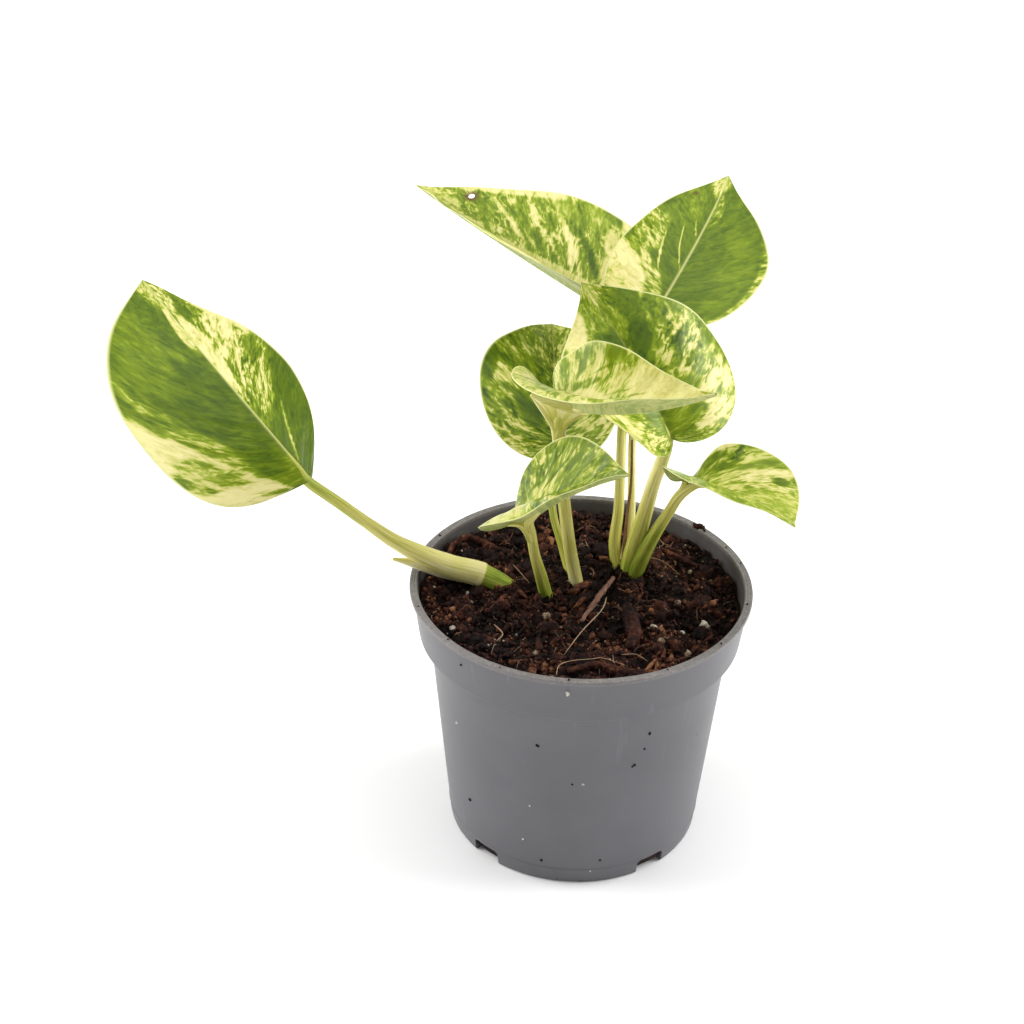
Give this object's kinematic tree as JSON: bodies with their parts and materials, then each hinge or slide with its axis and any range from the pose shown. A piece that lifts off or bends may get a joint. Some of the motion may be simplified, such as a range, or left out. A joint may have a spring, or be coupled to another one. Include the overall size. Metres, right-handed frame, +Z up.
{
  "type": "potted pothos plant",
  "caption": "Young variegated pothos with heart-shaped leaves on slender stalks, growing in a thin tapered nursery pot filled with dark potting mix.",
  "frame": {"origin": "on the pot's axis, on the flat underside that the pot stands on", "axes": "+Z up along the pot's axis, -Y towards the side that the long folded leaf points to"},
  "size_m": [0.2331, 0.2114, 0.2016],
  "materials": {
    "pot_plastic": "satin moulded polypropylene",
    "potting_mix": "damp peat and bark crumbs with perlite",
    "stalk": "smooth waxy skin",
    "leaf": "waxy blade, green marbled with cream",
    "dry_litter": "dry and papery"
  },
  "bodies": {
    "root": {"pot": "pot_plastic", "soil": "potting_mix", "stem_left": "stalk", "stem_front": "stalk", "stem_middle": "stalk", "stem_right": "stalk", "dry_sheath": "dry_litter", "twig": "dry_litter", "leaf_left": "leaf", "leaf_upper_left": "leaf", "leaf_upper_right": "leaf", "leaf_centre": "leaf", "leaf_back": "leaf", "leaf_folded": "leaf", "leaf_front": "leaf", "leaf_right": "leaf"}
  },
  "joints": []
}
